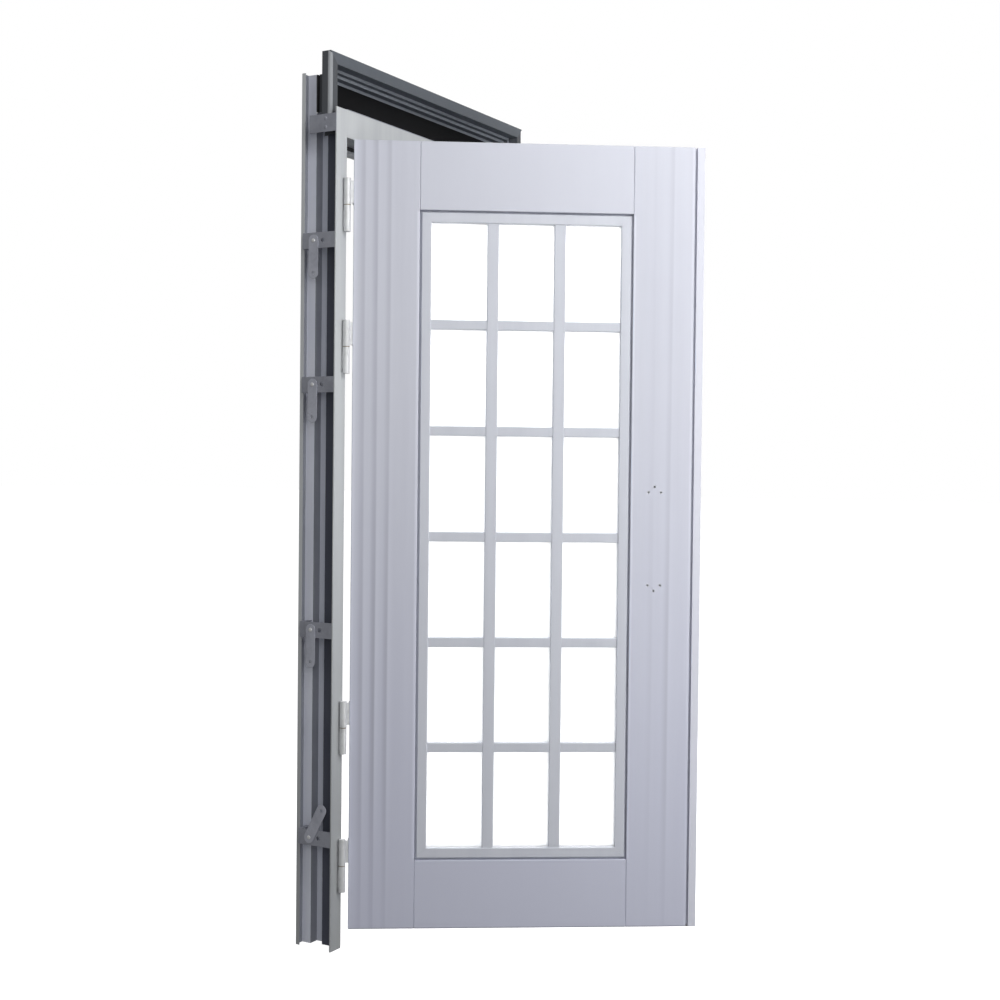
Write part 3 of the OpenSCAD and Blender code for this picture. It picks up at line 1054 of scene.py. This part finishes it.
@dataclass
class DoorFrame:
    """Folded frame: jambs, head, cap, seals, cleats and tie plates."""

    palette: Palette
    fold: Rounding = Rounding(0.0009, shortest=0.07)
    plate_edge: Rounding = Rounding(0.0005)
    tie_edge: Rounding = Rounding(0.0006)
    seal_edge: Rounding = Rounding(0.0015, 3)
    paint_gap: float = 0.0004
    # Depth and reach of the hollow that gets painted shade, and the depth behind which the rear
    # gets its lighter paint.
    hollow_shade_depth: float = 0.0575
    hollow_shade_reach: float = 0.05
    tail_depth: float = 0.0925
    outside: tuple[Span, ...] = (
        (0.0, 0.004), (0.0, 0.0), (0.046, 0.0), (0.046, 0.058), (0.066, 0.058), (0.066, 0.092),
        (0.038, 0.092), (0.038, 0.119), (0.010, 0.119), (0.010, 0.107))

    def build(self) -> None:
        """Builds every piece of the frame."""
        for node in ("hinge_jamb", "lock_jamb"):
            self._jamb(node)
        finishes = self.palette
        for node, name, slot, finish, edges in (
                ("frame_head", "head_bar", Slot.FRAME, finishes.frame, self.fold),
                ("frame_cap", "head_cap", Slot.SHEET, finishes.lining, self.plate_edge),
                ("stop_seal", "stop_gasket", Slot.SEAL, finishes.seal, self.seal_edge),
                ("corner_cleats", "head_cleats", Slot.SHEET, finishes.sheet, self.plate_edge),
                ("tie_plates", "jamb_ties", Slot.SHEET, finishes.sheet, self.tie_edge)):
            dressed(node, name, Body.FRAME, slot, finish, edges)

    def _jamb(self, node: str) -> None:
        """Builds one jamb with a painted outside and a dull wall side, whose webs and rear get lit
        copies of the lining and whose hollow gets painted shade.

        Args:
            node: Name of the CAD node.
        """
        piece = merged_copy(node, node.replace("_jamb", "_post"))
        finishes = self.palette
        paint(piece, finishes.frame, finishes.lining, finishes.lit_web, finishes.hollow_shade, finishes.tail)
        for polygon in piece.data.polygons:
            polygon.material_index = self._kind(polygon)
        self.fold.apply(piece)
        settle(piece, Body.FRAME, Slot.FRAME, node)

    def _kind(self, polygon: bpy.types.MeshPolygon) -> JambFace:
        """Tells what kind of face a jamb's face is.

        Args:
            polygon: The face.

        Returns:
            Its kind: the painted outside and the cut ends, or a fold of the wall side, sorted into
                painted shade in the hollow, the plain lining, and lit copies on the webs and at the
                rear.
        """
        inward, depth = HALF_WIDTH - abs(polygon.center.x), polygon.center.y
        cut_end = abs(polygon.normal.z) >= 0.5
        if cut_end or self._gap((inward, depth)) <= self.paint_gap:
            return JambFace.OUTSIDE
        # Painted shade in the hollow behind the front lip.
        if depth < self.hollow_shade_depth and inward < self.hollow_shade_reach:
            return JambFace.HOLLOW_SHADE
        if abs(polygon.normal.x) < 0.5:
            return JambFace.LINING
        # Faces turned to the wall side get lit copies of the lining as painted light; the rear copy
        # is also paler for its film.
        return JambFace.FILMED_AND_LIT_TAIL if depth > self.tail_depth else JambFace.LIT_WEB

    def _gap(self, spot: Span) -> float:
        """Distance of a point in the section from the outside of the fold.

        Args:
            spot: Distance in from the outer edge, and depth behind the front face.

        Returns:
            The distance in metres.
        """
        best = math.inf
        place = Vector(spot)
        for start, end in zip(self.outside, self.outside[1:]):
            a, b = Vector(start), Vector(end)
            share = min(1.0, max(0.0, (place - a).dot(b - a) / (b - a).length_squared))
            best = min(best, (place - a.lerp(b, share)).length)
        return best


class OverFace(IntEnum):
    """Kinds of face on the over frame, by the number of their finish: the plain front, a lit copy
    on the steps as painted light, a darker copy on the legs as painted shade, and a painted
    highlight on the legs' rounded corner.
    """

    FRONT = 0
    LIT_STEP = 1
    SHADED_SIDE = 2
    HIGHLIGHT_CORNER = 3


@dataclass
class OverPanel:
    """Stepped dark frame and panel above the doorway, with a seal at each side of the panel."""

    palette: Palette
    face_depth: float = 0.020
    first_step: float = 0.01
    sheet: float = 0.0015
    fold: float = 0.0006
    corner: Rounding = Rounding(0.009, 6, 0.06, slanting=False)
    corner_slack: float = 2e-4
    corner_lean: float = 0.12
    panel_edge: Rounding = Rounding(0.0008)
    seal_edge: Rounding = Rounding(0.0012, 3)
    seal_reach: float = 0.4716
    seal_gap: float = 0.0002
    seal_thinner: float = 0.001

    def build(self) -> None:
        """Builds the legs, the head, the panel and its edge seals."""
        self._stepped("over_leg_hinge", "over_post_hinge", upright=True)
        self._stepped("over_leg_lock", "over_post_lock", upright=True)
        self._stepped("over_head", "over_bar", upright=False)
        # The panel's near-black finish is painted shade for the cavity above the doorway.
        dressed("over_panel", "over_sheet", Body.FRAME, Slot.PANEL, self.palette.panel,
                self.panel_edge)
        self._seals()

    def _stepped(self, node: str, name: str, upright: bool) -> None:
        """Builds one bar of the frame, with inner steps painted lighter as painted light, legs
        painted darker as painted shade and a painted highlight on the legs' rounded outer corner.

        Args:
            node: Name of the CAD node.
            name: Name of the piece.
            upright: Whether it is a leg.
        """
        piece = merged_copy(node, name)
        paint(piece, self.palette.over, self.palette.step, self.palette.side, self.palette.painted_highlight)
        # Step faces get the lit copy of the paint as painted light; other leg faces get a darker
        # copy as painted shade.
        for polygon in piece.data.polygons:
            if polygon.normal.y < -0.5 and polygon.center.y > self.face_depth + self.first_step:
                polygon.material_index = OverFace.LIT_STEP
            elif upright:
                polygon.material_index = OverFace.SHADED_SIDE
        self.corner.apply(piece, self._share)
        # The rounded outer corner of each leg gets a painted highlight.
        for polygon in piece.data.polygons:
            if upright and self._at_corner(polygon):
                polygon.material_index = OverFace.HIGHLIGHT_CORNER
        settle(piece, Body.FRAME, Slot.OVER, node)

    def _share(self, middle: Vector) -> float:
        """Share of the rounding at an edge: large at the outer corner, a plain fold elsewhere.

        Args:
            middle: Middle of the edge.

        Returns:
            The share.
        """
        inward, behind = HALF_WIDTH - abs(middle.x), middle.y - self.face_depth
        for offset in (0.0, self.sheet):
            if max(abs(inward - offset), abs(behind - offset)) < self.corner_slack:
                return 1.0 - offset / self.corner.width
        return self.fold / self.corner.width

    def _at_corner(self, polygon: bpy.types.MeshPolygon) -> bool:
        """Tells whether a face lies on the rounded outside of a leg's front corner.

        Args:
            polygon: The face.

        Returns:
            True on the rounding.
        """
        inward, behind = HALF_WIDTH - abs(polygon.center.x), polygon.center.y - self.face_depth
        leaning = polygon.normal.y < -self.corner_lean and abs(polygon.normal.x) > self.corner_lean
        return leaning and inward < self.corner.width and behind < self.corner.width

    def _seals(self) -> None:
        """Fills the gap between the panel and the jambs' rear webs with rubber strips."""
        low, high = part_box("over_panel")
        shape = bmesh.new()
        for side in (-1.0, 1.0):
            near, far = sorted((side * (high[0] + self.seal_gap), side * self.seal_reach))
            size = (far - near, high[1] - low[1] - self.seal_thinner, high[2] - low[2], 1.0)
            middle = ((near + far) / 2.0, (low[1] + high[1]) / 2.0, (low[2] + high[2]) / 2.0)
            place = Matrix.Translation(middle) @ Matrix.Diagonal(size)
            bmesh.ops.create_cube(shape, size=1.0, matrix=place)
        piece = linked(shape, "over_panel_seals")
        paint(piece, self.palette.seal)
        self.seal_edge.apply(piece)
        settle(piece, Body.FRAME, Slot.SEAL)


@dataclass(frozen=True)
class RivetRow:
    """Domed rivets of one kind, with their shanks, in the outer sides of both jambs."""

    name: str
    node: str
    finish: Material
    lift: float
    depth: float
    heights: tuple[float, ...]
    head_radius: float
    head_height: float
    shank_length: float
    shank_radius: float = 0.003
    head_segments: int = 24
    shank_segments: int = 20
    cut_level: float = -0.00002

    def build(self) -> None:
        """Sets the rivets."""
        face = HALF_WIDTH + self.lift
        spots = [(side * face, self.depth, height) for side in (-1, 1) for height in self.heights]
        sizes = {"Head Radius": self.head_radius, "Head Height": self.head_height,
                 "Shank Radius": self.shank_radius, "Shank Length": self.shank_length}
        settle(self._tree().run(spots, sizes, self.name), Body.FRAME, Slot.STEEL, self.node)

    def _tree(self) -> Repeat:
        """A tree that turns points on the two wall sides into rivets.

        Returns:
            The tree.
        """
        repeat = Repeat("rivets")
        names = ("Head Radius", "Head Height", "Shank Radius", "Shank Length")
        head_radius, head_height, shank_radius, shank_length = map(repeat.size, names)
        ball = repeat.dome(head_radius, head_height, self.head_segments)
        below = repeat.node("FunctionNodeCompare", {"operation": "LESS_THAN"},
                            {0: repeat.spot(2), 1: self.cut_level})
        head = repeat.node("GeometryNodeDeleteGeometry", {"domain": "FACE"},
                           {"Geometry": ball, "Selection": below.outputs[0]})
        rod = repeat.node("GeometryNodeMeshCylinder", None, {
            "Vertices": self.shank_segments, "Radius": shank_radius, "Depth": shank_length})
        sunk = repeat.vector(z=repeat.times(shank_length, -0.5))
        shank = repeat.transformed(rod.outputs[0], Translation=sunk)
        plate = repeat.node("GeometryNodeMeshCircle", {"fill_type": "NGON"},
                            {"Vertices": self.head_segments, "Radius": head_radius})
        joined = repeat.node("GeometryNodeJoinGeometry")
        for part in (head.outputs[0], shank, plate.outputs[0]):
            repeat.feed(joined.inputs[0], part)
        side = repeat.node("ShaderNodeMath", {"operation": "SIGN"}, {0: repeat.spot(0)})
        tilt = repeat.vector(y=repeat.times(side.outputs[0], math.pi / 2))
        turn = repeat.node("FunctionNodeEulerToRotation", None, {0: tilt})
        repeat.close(joined.outputs[0], turn.outputs[0], self.finish)
        return repeat


@dataclass
class WallAnchors:
    """Brackets across the jambs, with a strap that swings on a rivet at each."""

    palette: Palette
    bracket_edge: Rounding = Rounding(0.0006)
    strap_edge: Rounding = Rounding(0.0005)
    heights: tuple[float, ...] = (0.2915408, 0.8341192, 1.4712736, 1.8436152)
    tie_heights: tuple[float, ...] = (2.13196, 2.15404)

    def build(self) -> None:
        """Builds brackets, straps and rivets."""
        sheet, strap, steel = self.palette.sheet, self.palette.strap, self.palette.steel
        for node in ("brackets_hinge", "brackets_lock"):
            name = node.replace("brackets", "anchor_plates")
            dressed(node, name, Body.FRAME, Slot.SHEET, sheet, self.bracket_edge)
        for side in "hl":
            for number in range(1, 5):
                node = f"strap_{side}{number}"
                body = Body(f"{node}_body")
                dressed(node, f"anchor_{node}", body, Slot.STRAP, strap, self.strap_edge)
        anchors = RivetRow("anchor_rivet_heads", "anchor_rivets", steel, lift=0.0026, depth=0.070,
                           heights=self.heights, head_radius=0.0055, head_height=0.0016,
                           shank_length=0.0046)
        ties = RivetRow("tie_rivet_heads", "tie_rivets", sheet, lift=0.002, depth=0.034,
                        heights=self.tie_heights, head_radius=0.005, head_height=0.0015,
                        shank_length=0.002)
        for row in (anchors, ties):
            row.build()


@dataclass
class Hinges:
    """Lift-off barrel hinges with their pins and washers."""

    palette: Palette
    barrel_edge: Rounding = Rounding(0.0009, 3)
    pin_edge: Rounding = Rounding(0.0004)
    washer_edge: Rounding = Rounding(0.0003)

    def build(self) -> None:
        """Builds both hinge halves, the pins and the washers."""
        steel = (Slot.STEEL, self.palette.steel)
        brass = (Slot.WASHER, self.palette.brass)
        dressed("hinge_lower", "hinge_barrels_low", Body.FRAME, *steel, self.barrel_edge)
        dressed("hinge_upper", "hinge_barrels_high", Body.LEAF, *steel, self.barrel_edge)
        dressed("hinge_pins", "hinge_spindles", Body.FRAME, *steel, self.pin_edge)
        dressed("hinge_washers", "hinge_rings", Body.FRAME, *brass, self.washer_edge)


@dataclass
class Leaf:
    """Steel leaf: stiles, rails, edge strip and sweep, with rims round the handle screw holes."""

    palette: Palette
    fold: Rounding = Rounding(0.0024, 3, 0.003)
    strip_fold: Rounding = Rounding(0.0016, 3, 0.07)
    sweep_edge: Rounding = Rounding(0.001)
    grip_place: Span = (0.795295, 1.0277944)
    grip_rise: float = 0.1224
    grip_holes: tuple[Span, ...] = ((-0.0165, 0.0), (0.0165, 0.0), (0.0, 0.0145))
    rim_radius: float = 0.0029
    rim_points: int = 28
    wire_radius: float = 0.00045
    wire_points: int = 8

    def build(self) -> None:
        """Builds the painted boxes of the leaf, its sweep and the rims."""
        finishes = self.palette
        for node, name, slot, finish, edges in (
                ("hinge_stile", "stile_hinge", Slot.LEAF, finishes.leaf, self.fold),
                ("lock_stile", "stile_lock", Slot.LEAF, finishes.leaf, self.fold),
                ("top_rail", "rail_top", Slot.LEAF, finishes.rail, self.fold),
                ("bottom_rail", "rail_bottom", Slot.LEAF, finishes.rail, self.fold),
                ("edge_strip", "lock_edge", Slot.LEAF, finishes.strip, self.strip_fold),
                ("leaf_sweep", "floor_sweep", Slot.SEAL, finishes.seal, self.sweep_edge)):
            dressed(node, name, Body.LEAF, slot, finish, edges)
        self._rims()

    def _rims(self) -> None:
        """Sets a thin steel rim round each handle screw hole."""
        repeat = Repeat("hole_rims")
        circles = ((self.rim_points, "Rim Radius"), (self.wire_points, "Wire Radius"))
        ring, wire = (
            repeat.node("GeometryNodeCurvePrimitiveCircle", None,
                        {"Resolution": points, "Radius": repeat.size(name)}).outputs[0]
            for points, name in circles)
        swept = repeat.node("GeometryNodeCurveToMesh", None, {"Curve": ring, "Profile Curve": wire})
        facing_front = (math.pi / 2, 0.0, math.radians(-OPEN_DEG))
        repeat.close(swept.outputs[0], facing_front, self.palette.steel)
        across, up = self.grip_place
        spots = [leaf_matrix() @ Vector((across + x, 0.0, up + side * (self.grip_rise + z)))
                 for side in (-1, 1) for x, z in self.grip_holes]
        sizes = {"Rim Radius": self.rim_radius, "Wire Radius": self.wire_radius}
        settle(repeat.run(spots, sizes, "handle_hole_rims"), Body.LEAF, Slot.STEEL)


@dataclass
class Glazing:
    """Satin sheet between two rings of beads and two grids of bars, screwed in from the rear."""

    palette: Palette
    glass_edge: Rounding = Rounding(0.0005, 1)
    gasket_edge: Rounding = Rounding(0.0004)
    bead_edge: Rounding = Rounding(0.003, 3, 0.05, slanting=False)
    bar_edge: Rounding = Rounding(0.0022, 3, 0.05, slanting=False)
    opening: tuple[float, float, float, float] = (0.172, 0.180, 0.731, 1.878)
    bead_middle: float = 0.0185
    bead_face: float = 0.049
    screw_pitch: float = 0.26
    screw_radius: float = 0.0038
    screw_height: float = 0.0014
    screw_segments: int = 20
    slot_width: float = 0.0009
    slot_length_share: float = 1.25
    slot_depth_share: float = 1.4

    def build(self) -> None:
        """Builds the glass, the gaskets, the beads, the bars and the bead screws."""
        glass, seal, bar = self.palette.glass, self.palette.seal, self.palette.bar
        dressed("glass_sheet", "pane_sheet", Body.LEAF, Slot.GLASS, glass, self.glass_edge)
        for side in ("front", "rear"):
            for part, name, slot, finish, edges in (
                    ("gasket", "pane_gasket", Slot.SEAL, seal, self.gasket_edge),
                    ("beads", "glazing_bead", Slot.BAR, bar, self.bead_edge),
                    ("uprights", "glazing_upright", Slot.BAR, bar, self.bar_edge),
                    ("crossbars", "glazing_cross", Slot.BAR, bar, self.bar_edge)):
                dressed(f"{side}_{part}", f"{name}_{side}", Body.LEAF, slot, finish, edges)
        self._screws()

    def _spots(self) -> list[Point]:
        """Places of the screw heads along the middle of the rear beads.

        Returns:
            The places in the row frame.
        """
        left, low, right, high = self.opening
        inset = self.bead_middle
        corners = [(left + inset, low + inset), (right - inset, low + inset),
                   (right - inset, high - inset), (left + inset, high - inset)]
        spots: list[Point] = []
        for start, end in zip(corners, corners[1:] + corners[:1]):
            a, b = Vector(start), Vector(end)
            count = max(2, round((b - a).length / self.screw_pitch))
            for number in range(count):
                flat = a.lerp(b, (number + 0.5) / count)
                spots.append(tuple(leaf_matrix() @ Vector((flat.x, self.bead_face, flat.y))))
        return spots

    def _screws(self) -> None:
        """Sets raised screw heads with a cross slot on the rear beads."""
        repeat = Repeat("bead_screws")
        radius, height, width = map(repeat.size, ("Head Radius", "Head Height", "Slot Width"))
        head = repeat.dome(radius, height, self.screw_segments)
        length = repeat.times(radius, self.slot_length_share)
        depth = repeat.times(height, self.slot_depth_share)
        slotted = repeat.node("GeometryNodeMeshBoolean",
                              {"operation": "DIFFERENCE", "solver": "EXACT"}, {"Mesh 1": head})
        for extent in ((length, width, depth), (width, length, depth)):
            cutter = repeat.node("GeometryNodeMeshCube", None, {"Size": repeat.vector(*extent)})
            raised = repeat.transformed(cutter.outputs[0], Translation=repeat.vector(z=height))
            repeat.feed(slotted.inputs["Mesh 2"], raised)
        facing_rear = (-math.pi / 2, 0.0, math.radians(-OPEN_DEG))
        repeat.close(slotted.outputs[0], facing_rear, self.palette.steel)
        sizes = {"Head Radius": self.screw_radius, "Head Height": self.screw_height,
                 "Slot Width": self.slot_width}
        made = repeat.run(self._spots(), sizes, "bead_screw_heads", smooth=False)
        settle(made, Body.LEAF, Slot.STEEL)


@dataclass(frozen=True)
class LightPanel:
    """One soft light that is not seen itself."""

    name: str
    place: Point
    target: Point
    size: Span
    watts: float

    def build(self) -> None:
        """Sets the light."""
        light = bpy.data.lights.new(self.name, "AREA")
        light.shape = "RECTANGLE"
        light.size, light.size_y = self.size
        light.energy = self.watts
        made = placed(light, self.name)
        made.visible_camera = False
        made.location = self.place
        aim = Vector(self.target) - Vector(self.place)
        made.rotation_euler = aim.to_track_quat("-Z", "Y").to_euler()


@dataclass
class Studio:
    """Wide pale floor, soft lights and the camera."""

    camera_place: Point = (-3.65572, -2.27309, 1.26013)
    camera_yaw_deg: float = 29.521
    camera_pitch_deg: float = -1.223
    camera_roll_deg: float = 0.598
    lens_mm: float = 53.956
    sensor_mm: float = 36.0
    floor_colour: Colour = (0.5, 0.5, 0.5)
    floor_cloud: Colour = (0.58, 0.58, 0.58)
    floor_glow: float = 0.93
    floor_half: float = 60.0
    floor_drop: float = 0.0002
    surround_levels: Span = (0.15, 0.38)
    surround_span: Span = (-0.6, 0.8)
    panels: tuple[LightPanel, ...] = (
        LightPanel("key_panel", (-1.14, -1.95, 3.0), (-0.1, -0.65, 1.75), (1.2, 0.8), 27.5),
        LightPanel("fill_panel", (-0.3, -2.2, 1.15), (0.0, -0.75, 1.0), (0.5, 1.9), 17.0),
        LightPanel("front_panel", (-4.6, -3.2, 2.0), (-0.2, -0.3, 1.3), (2.4, 2.0), 42.0),
        LightPanel("back_panel", (1.9, 0.5, 2.6), (-0.1, -0.4, 1.1), (2.0, 2.0), 60.0))

    def build(self) -> None:
        """Builds the stage, the lights and the camera."""
        self._floor()
        self._surround()
        for panel in self.panels:
            panel.build()
        self._camera()

    def _floor(self) -> None:
        """Makes a wide pale floor, bright of itself so that it meets the surround softly."""
        graph = Graph("studio_white")
        cloud = graph.noise(graph.place(), scale=0.7, detail=2.0)
        white = graph.mix(cloud, self.floor_colour, self.floor_cloud)
        material = graph.finish(Base_Color=white, Roughness=0.9, Emission_Color=(1.0, 1.0, 1.0),
                                Emission_Strength=self.floor_glow)
        shape = bmesh.new()
        bmesh.ops.create_grid(shape, x_segments=8, y_segments=8, size=self.floor_half,
                              matrix=Matrix.Translation((0.0, 0.0, -self.floor_drop)))
        floor = linked(shape, "studio_floor")
        paint(floor, material)
        floor.visible_diffuse = False
        floor.visible_glossy = False

    def _surround(self) -> None:
        """Sets a surround that is white to the eye, and otherwise dim below and brighter above."""
        world = bpy.data.worlds.new("studio_surround")
        world.use_nodes = True
        work = NodeWork(world.node_tree)
        direction = work.node("ShaderNodeTexCoord").outputs["Generated"]
        height = work.node("ShaderNodeSeparateXYZ", None, {0: direction}).outputs["Z"]
        (low, high), (dim, bright) = self.surround_span, self.surround_levels
        light = work.node("ShaderNodeMapRange", None, {
            "Value": height, "From Min": low, "From Max": high, "To Min": dim, "To Max": bright})
        path = work.node("ShaderNodeLightPath").outputs
        seen = work.node("ShaderNodeMath", {"operation": "MAXIMUM"},
                         {0: path["Is Camera Ray"], 1: path["Is Transmission Ray"]})
        level = work.node("ShaderNodeMix", None,
                          {"Factor": seen.outputs[0], "A": light.outputs["Result"], "B": 1.0})
        surround = world.node_tree.nodes["Background"]
        work.feed(surround.inputs["Color"], (1.0, 1.0, 1.0))
        work.feed(surround.inputs["Strength"], level.outputs["Result"])
        bpy.context.scene.world = world

    def _camera(self) -> None:
        """Places the camera at the photograph's viewpoint."""
        yaw, pitch, roll = (math.radians(angle) for angle in (
            self.camera_yaw_deg, self.camera_pitch_deg, self.camera_roll_deg))
        level = math.cos(pitch)
        ahead = Vector((level * math.cos(yaw), level * math.sin(yaw), math.sin(pitch)))
        flat = ahead.cross(Vector((0.0, 0.0, 1.0))).normalized()
        steep = flat.cross(ahead)
        right = math.cos(roll) * flat + math.sin(roll) * steep
        up = math.cos(roll) * steep - math.sin(roll) * flat
        camera = bpy.data.cameras.new("photo_camera")
        camera.lens = self.lens_mm
        camera.sensor_width = self.sensor_mm
        camera.sensor_fit = "HORIZONTAL"
        made = placed(camera, "photo_camera")
        turn = Matrix((right, up, -ahead)).transposed().to_4x4()
        made.matrix_world = Matrix.Translation(self.camera_place) @ turn
        bpy.context.scene.camera = made


def write_sizes() -> None:
    """Updates the view layer."""
    bpy.context.view_layer.update()


def main() -> None:
    """Builds the door and its studio."""
    logging.basicConfig(level=logging.INFO, format="%(name)s: %(message)s")
    bpy.context.scene.view_settings.view_transform = "Standard"
    palette = Palette.mixed()
    for assembly in (DoorFrame(palette), OverPanel(palette), WallAnchors(palette), Hinges(palette),
                     Leaf(palette), Glazing(palette)):
        assembly.build()
    Studio().build()
    write_sizes()


if __name__ == "__main__":
    main()
